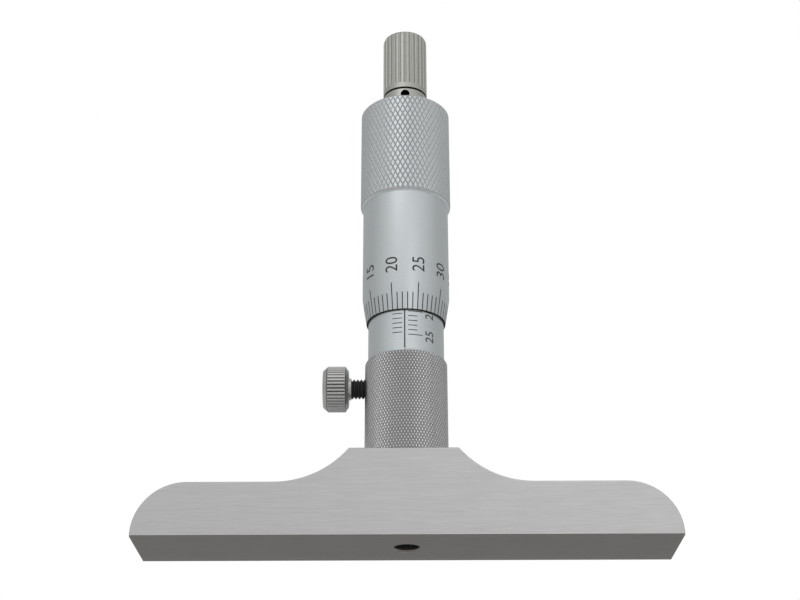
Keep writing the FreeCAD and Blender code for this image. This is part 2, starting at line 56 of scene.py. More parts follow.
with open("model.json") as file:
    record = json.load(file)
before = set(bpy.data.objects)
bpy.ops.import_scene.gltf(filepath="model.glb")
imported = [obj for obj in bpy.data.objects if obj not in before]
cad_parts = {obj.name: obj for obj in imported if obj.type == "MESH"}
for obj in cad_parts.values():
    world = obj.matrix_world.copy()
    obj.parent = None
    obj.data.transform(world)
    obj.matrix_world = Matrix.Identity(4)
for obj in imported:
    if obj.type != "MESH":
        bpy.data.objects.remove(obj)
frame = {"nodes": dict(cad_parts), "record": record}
CAD_LOW, CAD_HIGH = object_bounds()

MM = 0.001
TURN = 2 * math.pi
NUMBER_STRIPS = 14  # strips that let a flat number bend around the axis
SCALE_LINES = 26
DIVISIONS = 50


# ---------------------------------------------------------------- settings
class DM_CollarSettings(PropertyGroup):
    count: IntProperty(name="Diamonds", description="Knurl diamonds around the collar", default=80, min=3)
    steps: IntProperty(name="Steps", description="Mesh steps across one diamond", default=4, min=2)
    height: FloatProperty(
        name="Diamond height", description="Height of one diamond along the axis",
        default=1.13 * MM, min=0.1 * MM, unit="LENGTH", precision=6,
    )
    depth: FloatProperty(
        name="Depth", description="Depth of the knurl's grooves",
        default=0.17 * MM, min=0.0, unit="LENGTH", precision=6,
    )
    chamfer: FloatProperty(
        name="Chamfer", description="Chamfer on the collar's top edge",
        default=0.65 * MM, min=0.0, unit="LENGTH", precision=6,
    )
    land: FloatProperty(
        name="Groove share", description="Half a groove's width as a share of a diamond",
        default=0.42, min=0.05, max=0.5,
    )
    stem_radius: FloatProperty(
        name="Stem radius", description="Radius of the stem that the collar sits on",
        default=6.0 * MM, min=1 * MM, unit="LENGTH", precision=6,
    )
    screw_gap: FloatProperty(
        name="Screw gap", description="Running gap around the lock screw's thread",
        default=0.05 * MM, min=0.0, unit="LENGTH", precision=6,
    )


class DM_ThimbleSettings(PropertyGroup):
    count: IntProperty(name="Diamonds", description="Knurl diamonds around the thimble", default=56, min=3)
    steps: IntProperty(name="Steps", description="Mesh steps across one diamond", default=6, min=2)
    height: FloatProperty(
        name="Diamond height", description="Height of one diamond along the axis",
        default=2.1 * MM, min=0.1 * MM, unit="LENGTH", precision=6,
    )
    depth: FloatProperty(
        name="Depth", description="Depth of the knurl's grooves",
        default=0.11 * MM, min=0.0, unit="LENGTH", precision=6,
    )
    land: FloatProperty(
        name="Groove share", description="Half a groove's width as a share of a diamond",
        default=1 / 6, min=0.05, max=0.5,
    )
    plain_radius: FloatProperty(
        name="Plain radius", description="Outer radius of the smooth part",
        default=8.75 * MM, min=1 * MM, unit="LENGTH", precision=6,
    )
    edge_radius: FloatProperty(
        name="Edge radius", description="Outer radius at the reading edge",
        default=7.9 * MM, min=1 * MM, unit="LENGTH", precision=6,
    )
    bevel: FloatProperty(
        name="Bevel length", description="Length of the tapered part with the lines",
        default=5.5 * MM, min=0.0, unit="LENGTH", precision=6,
    )
    knurl_start: FloatProperty(
        name="Knurl start", description="Height of the knurl's lower end above the reading edge",
        default=26.2 * MM, min=0.0, unit="LENGTH", precision=6,
    )
    knurl_step: FloatProperty(
        name="Knurl step", description="Height of the slope at the knurl's lower end",
        default=0.4 * MM, min=0.0, unit="LENGTH", precision=6,
    )
    top_chamfer: FloatProperty(
        name="Top chamfer", description="Chamfer on the knurl's upper edge",
        default=0.3 * MM, min=0.0, unit="LENGTH", precision=6,
    )
    wall: FloatProperty(
        name="Wall", description="Wall thickness above the lip",
        default=1.0 * MM, min=0.1 * MM, unit="LENGTH", precision=6,
    )
    top_wall: FloatProperty(
        name="Top wall", description="Thickness of the closed upper end",
        default=3.0 * MM, min=0.1 * MM, unit="LENGTH", precision=6,
    )
    edge_band: FloatProperty(
        name="Edge band", description="Height of the dark band around the reading edge",
        default=0.1 * MM, min=0.0, unit="LENGTH", precision=6,
    )
    lip_gap: FloatProperty(
        name="Lip gap", description="Running gap between the lip and the sleeve",
        default=0.08 * MM, min=0.0, unit="LENGTH", precision=6,
    )
    hole_low: FloatProperty(
        name="Taper hole, below", description="Radius of the taper hole at its lower end",
        default=4.6 * MM, min=0.5 * MM, unit="LENGTH", precision=6,
    )
    hole_high: FloatProperty(
        name="Taper hole, above", description="Radius of the taper hole at its upper end",
        default=3.85 * MM, min=0.5 * MM, unit="LENGTH", precision=6,
    )


class DM_ScaleSettings(PropertyGroup):
    lift: FloatProperty(
        name="Lift", description="How far the ink stands above the metal",
        default=0.012 * MM, min=0.0, unit="LENGTH", precision=6,
    )
    sink: FloatProperty(
        name="Sink", description="How far the ink reaches into the metal",
        default=0.03 * MM, min=0.0, unit="LENGTH", precision=6,
    )
    last_line: FloatProperty(
        name="Last line", description="Height of the line of the full reading above the collar",
        default=3.0 * MM, unit="LENGTH", precision=6,
    )
    reading: FloatProperty(
        name="Reading", description="What the thimble's scale shows, in divisions",
        default=22.4, min=0.0, max=50.0,
    )
    datum: FloatProperty(
        name="Datum line", description="Place of the datum line around the sleeve",
        default=-0.26 * MM, unit="LENGTH", precision=6,
    )
    datum_foot: FloatProperty(
        name="Datum foot", description="Height of the datum line's lower end above the collar",
        default=0.15 * MM, unit="LENGTH", precision=6,
    )
    line_width: FloatProperty(
        name="Line width", description="Width of the lines on the sleeve",
        default=0.17 * MM, min=0.01 * MM, unit="LENGTH", precision=6,
    )
    datum_width: FloatProperty(
        name="Datum width", description="Width of the datum line",
        default=0.25 * MM, min=0.01 * MM, unit="LENGTH", precision=6,
    )
    thimble_width: FloatProperty(
        name="Division width", description="Width of the lines on the thimble",
        default=0.21 * MM, min=0.01 * MM, unit="LENGTH", precision=6,
    )
    short_line: FloatProperty(
        name="Short division", description="Length of the thimble's short lines",
        default=3.5 * MM, unit="LENGTH", precision=6,
    )
    long_line: FloatProperty(
        name="Long division", description="Length of the thimble's long lines",
        default=5.6 * MM, unit="LENGTH", precision=6,
    )
    whole_span: FloatVectorProperty(
        name="Whole lines", description="Start and end of the 1 mm lines around the sleeve",
        size=2, default=(0.43 * MM, 2.26 * MM), unit="LENGTH", precision=6,
    )
    five_end: FloatProperty(
        name="Five line end", description="End of the 5 mm lines around the sleeve",
        default=3.33 * MM, unit="LENGTH", precision=6,
    )
    half_span: FloatVectorProperty(
        name="Half lines", description="Start and end of the 0.5 mm lines around the sleeve",
        size=2, default=(-2.70 * MM, -0.77 * MM), unit="LENGTH", precision=6,
    )
    sleeve_digit: FloatVectorProperty(
        name="Sleeve number", description="Height and two-digit length of the sleeve's numbers",
        size=2, default=(1.95 * MM, 2.45 * MM), unit="LENGTH", precision=6,
    )
    sleeve_digit_place: FloatProperty(
        name="Sleeve number place", description="Middle of the sleeve's numbers around the sleeve",
        default=4.92 * MM, unit="LENGTH", precision=6,
    )
    thimble_digit: FloatVectorProperty(
        name="Thimble number", description="Height and two-digit length of the thimble's numbers",
        size=2, default=(2.55 * MM, 3.3 * MM), unit="LENGTH", precision=6,
    )
    thimble_digit_height: FloatProperty(
        name="Thimble number height", description="Middle of the thimble's numbers above its edge",
        default=9.55 * MM, unit="LENGTH", precision=6,
    )


class DM_ThreadSettings(PropertyGroup):
    pitch: FloatProperty(
        name="Pitch", description="Pitch of the lock screw's thread",
        default=0.7 * MM, min=0.1 * MM, unit="LENGTH", precision=6,
    )
    depth: FloatProperty(
        name="Depth", description="Depth of the lock screw's thread",
        default=0.4 * MM, min=0.0, unit="LENGTH", precision=6,
    )
    flank: FloatProperty(name="Flank", description="Steepness of the thread's flanks", default=2.4)
    columns: IntProperty(name="Columns", description="Mesh steps around the thread", default=64, min=8)
    rows: IntProperty(name="Rows", description="Mesh steps along one pitch", default=10, min=4)


class DM_StageSettings(PropertyGroup):
    lens: FloatProperty(name="Lens", description="Focal length on a 36 mm sensor", default=68.02)
    place: FloatVectorProperty(
        name="Camera place", description="Where the camera stands",
        size=3, default=(-0.0000367, -0.2759667, -0.0794346), unit="LENGTH", precision=6,
    )
    yaw: FloatProperty(name="Yaw", description="Turn to the right", default=-0.0042)
    pitch: FloatProperty(name="Pitch", description="Tilt upwards", default=0.4431)
    roll: FloatProperty(name="Roll", description="Roll of the picture", default=-0.0022)
    floor_drop: FloatProperty(
        name="Floor drop", description="How far the floor lies below the measuring face",
        default=0.2 * MM, min=0.0, unit="LENGTH", precision=6,
    )
    front: FloatProperty(name="Front", description="Light from the scale's side of the room", default=0.84)
    sky: FloatProperty(name="Sky", description="Light from the rest of the room's upper half", default=0.5)
    ground: FloatProperty(name="Ground", description="Light from the lower half of the room", default=0.2)


SETTINGS = {
    "dm_collar": DM_CollarSettings,
    "dm_thimble": DM_ThimbleSettings,
    "dm_scale": DM_ScaleSettings,
    "dm_thread": DM_ThreadSettings,
    "dm_stage": DM_StageSettings,
}


# ---------------------------------------------------------------- shader node groups
class Graph:
    """Short calls that add nodes to a tree and join them."""

    def __init__(self, tree):
        self.tree = tree

    def add(self, kind, values=None, **settings):
        node = self.tree.nodes.new(kind)
        for name, value in settings.items():
            setattr(node, name, value)
        for socket, value in (values or {}).items():
            node.inputs[socket].default_value = value
        return node

    def join(self, source, target):
        self.tree.links.new(source, target)

    def math(self, operation, first, second=None):
        node = self.add("ShaderNodeMath", operation=operation)
        for index, value in enumerate((first, second)):
            if value is None:
                continue
            if isinstance(value, (int, float)):
                node.inputs[index].default_value = value
            else:
                self.join(value, node.inputs[index])
        return node.outputs[0]

    def blend(self, factor, low, high):
        """Mix two colours, each a colour or a socket, by a factor."""
        node = self.add("ShaderNodeMix", data_type="RGBA")
        self.join(factor, node.inputs["Factor"])
        sockets = [s for s in node.inputs if s.type == "RGBA"]
        for socket, value in zip(sockets, (low, high)):
            if isinstance(value, tuple):
                socket.default_value = value
            else:
                self.join(value, socket)
        return next(s for s in node.outputs if s.type == "RGBA")


def new_group(name, inputs, outputs):
    """An empty shader node group with its sockets. Returns the group, its graph and both ends."""
    group = bpy.data.node_groups.new(name, "ShaderNodeTree")
    for socket, kind, value in inputs:
        made = group.interface.new_socket(name=socket, in_out="INPUT", socket_type=kind)
        made.default_value = value
    for socket, kind in outputs:
        group.interface.new_socket(name=socket, in_out="OUTPUT", socket_type=kind)
    graph = Graph(group)
    start = graph.add("NodeGroupInput")
    end = graph.add("NodeGroupOutput")
    return group, graph, start, end


def make_grain():
    """Marks drawn out along one way, coarse streaks with fine ones in them."""
    group, graph, start, end = new_group(
        "DM_Grain",
        [("Stretch", "NodeSocketVector", (1.0, 1.0, 1.0)), ("Fineness", "NodeSocketFloat", 3.0)],
        [("Tone", "NodeSocketFloat"), ("Height", "NodeSocketFloat")],
    )
    place = graph.add("ShaderNodeTexCoord")
    stretched = graph.add("ShaderNodeVectorMath", operation="MULTIPLY")
    graph.join(place.outputs["Object"], stretched.inputs[0])
    graph.join(start.outputs["Stretch"], stretched.inputs[1])
    coarse = graph.add("ShaderNodeTexNoise", {"Scale": 1.0, "Detail": 2.0, "Roughness": 0.6})
    graph.join(stretched.outputs[0], coarse.inputs["Vector"])
    finer = graph.add("ShaderNodeVectorMath", operation="SCALE")
    graph.join(stretched.outputs[0], finer.inputs[0])
    graph.join(start.outputs["Fineness"], finer.inputs["Scale"])
    fine = graph.add("ShaderNodeTexNoise", {"Scale": 1.0, "Detail": 3.0, "Roughness": 0.7})
    graph.join(finer.outputs[0], fine.inputs["Vector"])
    total = graph.math("ADD", coarse.outputs["Fac"], fine.outputs["Fac"])
    graph.join(graph.math("MULTIPLY", total, 0.5), end.inputs["Tone"])
    graph.join(fine.outputs["Fac"], end.inputs["Height"])
    return group


def make_smudges():
    """Soft uneven patches, such as handling leaves on bare metal."""
    group, graph, start, end = new_group(
        "DM_Smudges",
        [("Scale", "NodeSocketFloat", 120.0)],
        [("Tone", "NodeSocketFloat")],
    )
    place = graph.add("ShaderNodeTexCoord")
    noise = graph.add("ShaderNodeTexNoise", {"Detail": 3.0, "Roughness": 0.55, "Distortion": 0.4})
    graph.join(place.outputs["Object"], noise.inputs["Vector"])
    graph.join(start.outputs["Scale"], noise.inputs["Scale"])
    graph.join(noise.outputs["Fac"], end.inputs["Tone"])
    return group


def make_edge_wear():
    """A mask that is 1 along sharp edges and breaks up a little."""
    group, graph, start, end = new_group(
        "DM_EdgeWear",
        [("Radius", "NodeSocketFloat", 0.15 * MM), ("Gain", "NodeSocketFloat", 4.0)],
        [("Mask", "NodeSocketFloat")],
    )
    rounded = graph.add("ShaderNodeBevel", samples=6)
    graph.join(start.outputs["Radius"], rounded.inputs["Radius"])
    plain = graph.add("ShaderNodeNewGeometry")
    alike = graph.add("ShaderNodeVectorMath", operation="DOT_PRODUCT")
    graph.join(rounded.outputs[0], alike.inputs[0])
    graph.join(plain.outputs["Normal"], alike.inputs[1])
    turned = graph.math("SUBTRACT", 1.0, alike.outputs["Value"])
    strong = graph.math("MULTIPLY", turned, start.outputs["Gain"])
    place = graph.add("ShaderNodeTexCoord")
    noise = graph.add("ShaderNodeTexNoise", {"Scale": 900.0, "Detail": 2.0})
    graph.join(place.outputs["Object"], noise.inputs["Vector"])
    broken = graph.math("MULTIPLY", strong, graph.math("ADD", noise.outputs["Fac"], 0.35))
    graph.join(graph.math("MINIMUM", broken, 1.0), end.inputs["Mask"])
    return group


def make_groove_dust():
    """A mask of painted shade that is 1 at the bottom of a knurl's grooves, worked out from the radius.

    Limit, in depths, ends the mask so that chamfers beside the knurl stay unshaded.
    """
    group, graph, start, end = new_group(
        "DM_RecessShade",
        [
            ("Centre", "NodeSocketVector", (0.0, 0.0, 0.0)),
            ("Across", "NodeSocketVector", (1.0, 1.0, 0.0)),
            ("Crest", "NodeSocketFloat", 1.0),
            ("Depth", "NodeSocketFloat", 0.1),
            ("Limit", "NodeSocketFloat", 1.25),
        ],
        [("Mask", "NodeSocketFloat")],
    )
    place = graph.add("ShaderNodeTexCoord")
    moved = graph.add("ShaderNodeVectorMath", operation="SUBTRACT")
    graph.join(place.outputs["Object"], moved.inputs[0])
    graph.join(start.outputs["Centre"], moved.inputs[1])
    flat = graph.add("ShaderNodeVectorMath", operation="MULTIPLY")
    graph.join(moved.outputs[0], flat.inputs[0])
    graph.join(start.outputs["Across"], flat.inputs[1])
    length = graph.add("ShaderNodeVectorMath", operation="LENGTH")
    graph.join(flat.outputs[0], length.inputs[0])
    under = graph.math("SUBTRACT", start.outputs["Crest"], length.outputs["Value"])
    share = graph.math("DIVIDE", under, start.outputs["Depth"])
    clamped = graph.math("MINIMUM", graph.math("MAXIMUM", share, 0.0), 1.0)
    groove = graph.math("LESS_THAN", share, start.outputs["Limit"])
    graph.join(graph.math("MULTIPLY", clamped, groove), end.inputs["Mask"])
    return group


# ---------------------------------------------------------------- materials
class Finish:
    """A metal finish: its greys, its marks, its painted shade in grooves and holes, and its wear."""

    def __init__(self, dark, light, rough, **extra):
        self.dark = dark
        self.light = light
        self.rough = rough
        self.metallic = extra.get("metallic", 1.0)
        self.stretch = extra["stretch"]
        self.bump = extra.get("bump", 0.15)
        self.wear = extra.get("wear", (0.82, 0.82, 0.82, 1.0))
        self.wear_radius = extra.get("wear_radius", 0.12 * MM)
        self.wear_gain = extra.get("wear_gain", 4.0)
        # painted shade: the mask's settings and the grey it paints into grooves and holes
        self.dust = extra.get("dust")
        self.dust_colour = extra.get("dust_colour", (0.1, 0.1, 0.1, 1.0))


def build_material(name, finish, groups):
    material = bpy.data.materials.new(name)
    material.use_nodes = True
    material.node_tree.nodes.clear()
    graph = Graph(material.node_tree)
    output = graph.add("ShaderNodeOutputMaterial")
    shader = graph.add("ShaderNodeBsdfPrincipled", {"Metallic": finish.metallic})
    graph.join(shader.outputs[0], output.inputs["Surface"])
    grain = graph.add("ShaderNodeGroup", node_tree=groups["grain"])
    grain.inputs["Stretch"].default_value = finish.stretch
    colour = graph.blend(grain.outputs["Tone"], finish.dark, finish.light)
    # Painted shade: the colour turns to the shade grey where the mask finds the surface below the crest
    # radius.
    if finish.dust:
        dust = graph.add("ShaderNodeGroup", node_tree=groups["dust"])
        for socket, value in finish.dust.items():
            dust.inputs[socket].default_value = value
        colour = graph.blend(dust.outputs["Mask"], colour, finish.dust_colour)
    wear = graph.add("ShaderNodeGroup", node_tree=groups["wear"])
    wear.inputs["Radius"].default_value = finish.wear_radius
    wear.inputs["Gain"].default_value = finish.wear_gain
    colour = graph.blend(wear.outputs["Mask"], colour, finish.wear)
    graph.join(colour, shader.inputs["Base Color"])
    smudges = graph.add("ShaderNodeGroup", node_tree=groups["smudges"])
    roughness = graph.add("ShaderNodeMapRange")
    roughness.inputs["To Min"].default_value = finish.rough[0]
    roughness.inputs["To Max"].default_value = finish.rough[1]
    graph.join(smudges.outputs["Tone"], roughness.inputs["Value"])
    graph.join(roughness.outputs[0], shader.inputs["Roughness"])
    bump = graph.add("ShaderNodeBump", {"Strength": finish.bump, "Distance": MARK_HEIGHT})
    graph.join(grain.outputs["Height"], bump.inputs["Height"])
    graph.join(bump.outputs[0], shader.inputs["Normal"])
    return material


def grey(value, warm=0.0):
    """A linear grey, a little warm or, below nought, a little cool."""
    return (value * (1 + warm), value, value * (1 - warm), 1.0)


CHROME = ((0.585, 0.62, 0.632, 1.0), (0.68, 0.725, 0.74, 1.0))
NICKEL = ((0.435, 0.44, 0.41, 1.0), (0.56, 0.565, 0.53, 1.0))
TURNED = (250.0, 250.0, 4200.0)
TURNED_ABOUT_X = (4200.0, 250.0, 250.0)
ALONG_X = (120.0, 3500.0, 4200.0)
RING_MARKS = (300.0, 300.0, 5000.0)
FINE_SPECKLE = (900.0, 900.0, 900.0)
INK_SPECKLE = (2500.0, 2500.0, 2500.0)
MARK_HEIGHT = 0.004 * MM


def knob_centre():
    low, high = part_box("lock_stud")
    return (low + high) / 2


def outer_radius(node):
    low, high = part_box(node)
    return (high.x - low.x) / 2


def finishes():
    """Every finish of the object by name."""
    scene = bpy.context.scene
    knob_low, knob_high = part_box("lock_knob")
    knob_radius = (knob_high.z - knob_low.z) / 2
    # Painted shade, darker towards the bottoms of the grooves in the collar's and the thimble's knurls,
    # the ratchet's flutes and the knob's flutes.
    collar_groove_shade = {
        "Centre": (0.0, 0.0, 0.0), "Across": (1.0, 1.0, 0.0),
        "Crest": outer_radius("knurled_collar"), "Depth": scene.dm_collar.depth,
    }
    thimble_groove_shade = dict(collar_groove_shade, Crest=outer_radius("thimble"), Depth=scene.dm_thimble.depth)
    ratchet_groove_shade = dict(collar_groove_shade, Crest=outer_radius("ratchet_cap"), Depth=0.2 * MM)
    # Painted shade in the wrench hole of the ratchet's neck; it darkens every surface of this finish
    # inside this radius of the axis.
    hole_painted_shade = {
        "Centre": (0.0, 0.0, 0.0), "Across": (1.0, 1.0, 0.0),
        "Crest": outer_radius("clamp_cap") - 0.08 * MM, "Depth": 0.4 * MM, "Limit": 100.0,
    }
    knob_groove_shade = {
        "Centre": tuple(knob_centre()), "Across": (0.0, 1.0, 1.0),
        "Crest": knob_radius, "Depth": 0.2 * MM,
    }
    return {
        "ground_steel": Finish(
            grey(0.42), grey(0.70), (0.34, 0.46), stretch=ALONG_X, bump=0.4,
            wear_gain=8.0, wear_radius=0.25 * MM, wear=grey(0.92),
        ),
        "satin_chrome": Finish(CHROME[0], CHROME[1], (0.3, 0.4), stretch=TURNED),
        "collar_knurl": Finish(
            grey(0.86, -0.01), grey(0.97, -0.01), (0.22, 0.32), stretch=TURNED,
            # painted shade in the knurl's grooves
            dust=collar_groove_shade, dust_colour=grey(0.06, 0.02),
        ),
        "thimble_knurl": Finish(
            CHROME[0], CHROME[1], (0.3, 0.4), stretch=TURNED,
            # painted shade in the knurl's grooves
            dust=thimble_groove_shade, dust_colour=grey(0.34),
        ),
        "hardened_steel": Finish(grey(0.35), grey(0.5), (0.3, 0.45), stretch=TURNED),
        "spring_steel": Finish(grey(0.3), grey(0.42), (0.3, 0.4), stretch=FINE_SPECKLE),
        "bright_steel": Finish(
            # painted shade, near black, in the wrench hole
            NICKEL[0], NICKEL[1], (0.28, 0.38), stretch=TURNED, dust=hole_painted_shade, dust_colour=grey(0.02),
        ),
        "nickel_grey": Finish(
            NICKEL[0], NICKEL[1], (0.34, 0.46), stretch=TURNED,
            # painted shade in the ratchet's flutes
            dust=ratchet_groove_shade, dust_colour=(0.365, 0.37, 0.34, 1.0), wear=(0.62, 0.625, 0.59, 1.0),
        ),
        "knob_steel": Finish(
            grey(0.46, 0.01), grey(0.62, 0.01), (0.3, 0.42), stretch=TURNED_ABOUT_X,
            # painted shade in the knob's flutes
            dust=knob_groove_shade, dust_colour=grey(0.08),
        ),
        "black_steel": Finish(
            grey(0.012), grey(0.03), (0.35, 0.5), metallic=0.0, stretch=TURNED_ABOUT_X,
            wear=grey(0.09),
        ),
        "pad_brass": Finish(
            (0.5, 0.36, 0.14, 1.0), (0.68, 0.5, 0.22, 1.0), (0.3, 0.45),
            stretch=TURNED_ABOUT_X, wear=(0.85, 0.7, 0.4, 1.0),
        ),
        "scale_ink": Finish(
            grey(0.02), grey(0.045), (0.5, 0.7), metallic=0.0, stretch=INK_SPECKLE,
            wear=grey(0.05), bump=0.05,
        ),
        "edge_shadow": Finish(
            grey(0.004), grey(0.008), (0.6, 0.8), metallic=0.0, stretch=RING_MARKS,
            wear=grey(0.008), bump=0.05,
        ),
    }


def material(name):
    return bpy.data.materials["dm_" + name]


def dress(node, name):
    """Give a CAD node its finish."""
    shown = frame["nodes"][node]
    if not shown.material_slots:
        shown.data.materials.append(material(name))
    for slot in shown.material_slots:
        slot.material = material(name)


# ---------------------------------------------------------------- meshes
def screw_hole(reach, gap):
    """A cylinder that cuts the lock screw's hole, from the outside to the spindle's axis."""
    low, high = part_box("lock_stud")
    radius = (high.z - low.z) / 2 + gap
    length = reach + 1 * MM
    work = bmesh.new()
    turn = Matrix.Translation((-length / 2, 0.0, (high.z + low.z) / 2)) @ Matrix.Rotation(TURN / 4, 4, "Y")
    bmesh.ops.create_cone(
        work, cap_ends=True, segments=64, radius1=radius, radius2=radius, depth=length, matrix=turn,
    )
    mesh = bpy.data.meshes.new("screw_hole")
    work.to_mesh(mesh)
    work.free()
    mesh.materials.append(material("collar_knurl"))
    mesh.materials.append(material("satin_chrome"))
    mesh.polygons.foreach_set("material_index", [1] * len(mesh.polygons))
    return bpy.data.objects.new("screw_hole", mesh)


def cut_away(piece, cutter):
    """Cut one object's shape out of another and remove the cutter."""
    bpy.context.scene.collection.objects.link(cutter)
    cut = piece.modifiers.new("cut", "BOOLEAN")
    cut.operation = "DIFFERENCE"
    cut.solver = "EXACT"
    cut.object = cutter
    result = bpy.data.meshes.new_from_object(piece.evaluated_get(bpy.context.evaluated_depsgraph_get()))
    piece.modifiers.clear()
    whole = piece.data
    piece.data = result
    bpy.data.meshes.remove(whole)
    result.name = piece.name
    bpy.data.meshes.remove(cutter.data)


def make_piece(name, vertices, faces, materials, body, indices=None, sharp=30.0, cutter=None):
    """A new mesh piece that rides on a body. indices gives each face's material."""
    mesh = bpy.data.meshes.new(name)
    mesh.from_pydata([tuple(v) for v in vertices], [], faces)
    for entry in materials:
        mesh.materials.append(material(entry))
    if indices:
        mesh.polygons.foreach_set("material_index", indices)
    piece = bpy.data.objects.new(name, mesh)
    bpy.context.scene.collection.objects.link(piece)
    if cutter:
        cut_away(piece, cutter)
    piece.data.shade_smooth()
    piece.data.set_sharp_from_angle(angle=math.radians(sharp))
    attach(piece, body)
    return piece


def on_axis(radius, angle, height):
    """A point around the spindle's axis. Angle nought is the side with the scale."""
    return Vector((radius * math.sin(angle), -radius * math.cos(angle), height))


def groove_share(place, land):
    """0 in the middle of a groove and 1 on the land beside it."""
    part = place % 1.0
    return min(min(part, 1.0 - part) / land, 1.0)


def outline_radius(outline, height):
    """Radius of an open (radius, height) outline at a height."""
    for (low_radius, low), (high_radius, high) in zip(outline, outline[1:]):
        if low <= height <= high and high > low:
            return low_radius + (high_radius - low_radius) * (height - low) / (high - low)
    return outline[-1][0]


def knurled_turning(outside, rest, settings, crest):
    """A closed turned ring whose outside, an outline from bottom to top, is knurled.

    rest is the way back from the top of the outside to its bottom. The knurl is two sets of
    grooves that cross. Returns vertices, faces and, for each face, its row; rows below the
    first of the way back are knurled.
    """
    columns = settings.count * settings.steps
    low, high = outside[0][1], outside[-1][1]
    rows = max(1, round((high - low) / (settings.height / settings.steps)))

    def knurled(column, row):
        around, along = column / settings.steps, row / settings.steps
        shares = [groove_share(p, settings.land) for p in (around + along, around - along)]
        height = low + (high - low) * row / rows
        radius = crest - settings.depth * (1.0 - min(shares))
        limit = outline_radius(outside, min(max(height, low), high))
        return on_axis(min(radius, limit), TURN * column / columns, height)

    vertices = []
    for row in range(rows + 1):
        vertices += [knurled(column, row) for column in range(columns)]
    for radius, height in rest:
        vertices += [on_axis(radius, TURN * column / columns, height) for column in range(columns)]
    ring_count = rows + 1 + len(rest)
    centres = len(vertices)
    for row in range(rows):
        vertices += [knurled(column + 0.5, row + 0.5) for column in range(columns)]
    faces, face_rows = [], []
    for row in range(ring_count):
        upper = (row + 1) % ring_count
        for column in range(columns):
            other = (column + 1) % columns
            quad = [
                row * columns + column, row * columns + other,
                upper * columns + other, upper * columns + column,
            ]
            if row < rows:
                middle = centres + row * columns + column
                parts = [[quad[k], quad[(k + 1) % 4], middle] for k in range(4)]
            else:
                parts = [quad]
            faces += parts
            face_rows += [row] * len(parts)
    return vertices, faces, face_rows, rows


def inlay(surface, start, end, low, high, lift, sink, across=6, along=1):
    """A thin bar of ink in a turned surface, between two angles and two heights."""
    vertices, faces = [], []
    for column in range(across + 1):
        angle = start + (end - start) * column / across
        for row in range(along + 1):
            height = low + (high - low) * row / along
            vertices.append(on_axis(surface(height) + lift, angle, height))
            vertices.append(on_axis(surface(height) - sink, angle, height))
    step = 2 * (along + 1)
    for column in range(across):
        for row in range(along):
            first = column * step + 2 * row
            faces.append([first, first + step, first + step + 2, first + 2])
            faces.append([first + 1, first + 3, first + step + 3, first + step + 1])
        foot, head = column * step, column * step + 2 * along
        faces.append([foot, foot + 1, foot + step + 1, foot + step])
        faces.append([head, head + step, head + step + 1, head + 1])
    for row in range(along):
        near, far = 2 * row, across * step + 2 * row
        faces.append([near, near + 2, near + 3, near + 1])
        faces.append([far, far + 1, far + 3, far + 2])
    return vertices, faces


def gather(parts):
    """Join lists of vertices and faces into one."""
    vertices, faces = [], []
    for some_vertices, some_faces in parts:
        offset = len(vertices)
        vertices += some_vertices
        faces += [[index + offset for index in face] for face in some_faces]
    return vertices, faces


def number_mesh(text, digit_height, pair_length, thickness):
    """A number as flat mesh, centred, with the pair 20 setting the width."""
    def outline(body):
        curve = bpy.data.curves.new("number", "FONT")
        curve.body = body
        curve.extrude = 0.5
        curve.resolution_u = 4
        holder = bpy.data.objects.new("number", curve)
        bpy.context.scene.collection.objects.link(holder)
        bpy.context.view_layer.update()
        mesh = bpy.data.meshes.new_from_object(holder)
        bpy.data.objects.remove(holder)
        bpy.data.curves.remove(curve)
        return mesh

    def size(mesh):
        xs = [v.co.x for v in mesh.vertices]
        ys = [v.co.y for v in mesh.vertices]
        return min(xs), max(xs), min(ys), max(ys)

    pair = outline("20")
    pair_box = size(pair)
    bpy.data.meshes.remove(pair)
    mesh = outline(text)
    box = size(mesh)
    wide = pair_length / (pair_box[1] - pair_box[0])
    tall = digit_height / (pair_box[3] - pair_box[2])
    shift = Vector(((box[0] + box[1]) / 2, (pair_box[2] + pair_box[3]) / 2, 0.0))
    work = bmesh.new()
    work.from_mesh(mesh)
    bpy.data.meshes.remove(mesh)
    for vertex in work.verts:
        vertex.co = (vertex.co - shift) * Vector((wide, tall, thickness))
    for cut in range(NUMBER_STRIPS + 1):
        everything = work.verts[:] + work.edges[:] + work.faces[:]
        level = Vector((0.0, digit_height * (cut / NUMBER_STRIPS - 0.5), 0.0))
        bmesh.ops.bisect_plane(work, geom=everything, plane_co=level, plane_no=(0.0, 1.0, 0.0))
    vertices = [v.co.copy() for v in work.verts]
    work.verts.index_update()
    faces = [[v.index for v in face.verts] for face in work.faces]
    work.free()
    return vertices, faces


def wrap_number(shape, radius, place, height):
    """Bend a flat number around the axis so that it reads upwards."""
    vertices, faces = shape
    bent = [on_axis(radius + v.z, (place - v.y) / radius, height + v.x) for v in vertices]
    return bent, faces


# ---------------------------------------------------------------- operators
class DM_OT_materials(Operator):
    """Make the shared node groups and every material"""
    bl_idname = "micrometer.materials"
    bl_label = "Make materials"

    def execute(self, context):
        groups = {
            "grain": make_grain(),
            "smudges": make_smudges(),
            "wear": make_edge_wear(),
            # painted shade for grooves and holes
            "dust": make_groove_dust(),
        }
        for name, finish in finishes().items():
            build_material("dm_" + name, finish, groups)
        return {"FINISHED"}


class DM_OT_dress_nodes(Operator):
    """Give the CAD nodes that stay their finishes"""
    bl_idname = "micrometer.dress_nodes"
    bl_label = "Dress the CAD nodes"

    def execute(self, context):
        for entry in frame["record"]["subparts"]:
            dress(entry["node"], entry["material_slot"])
        return {"FINISHED"}


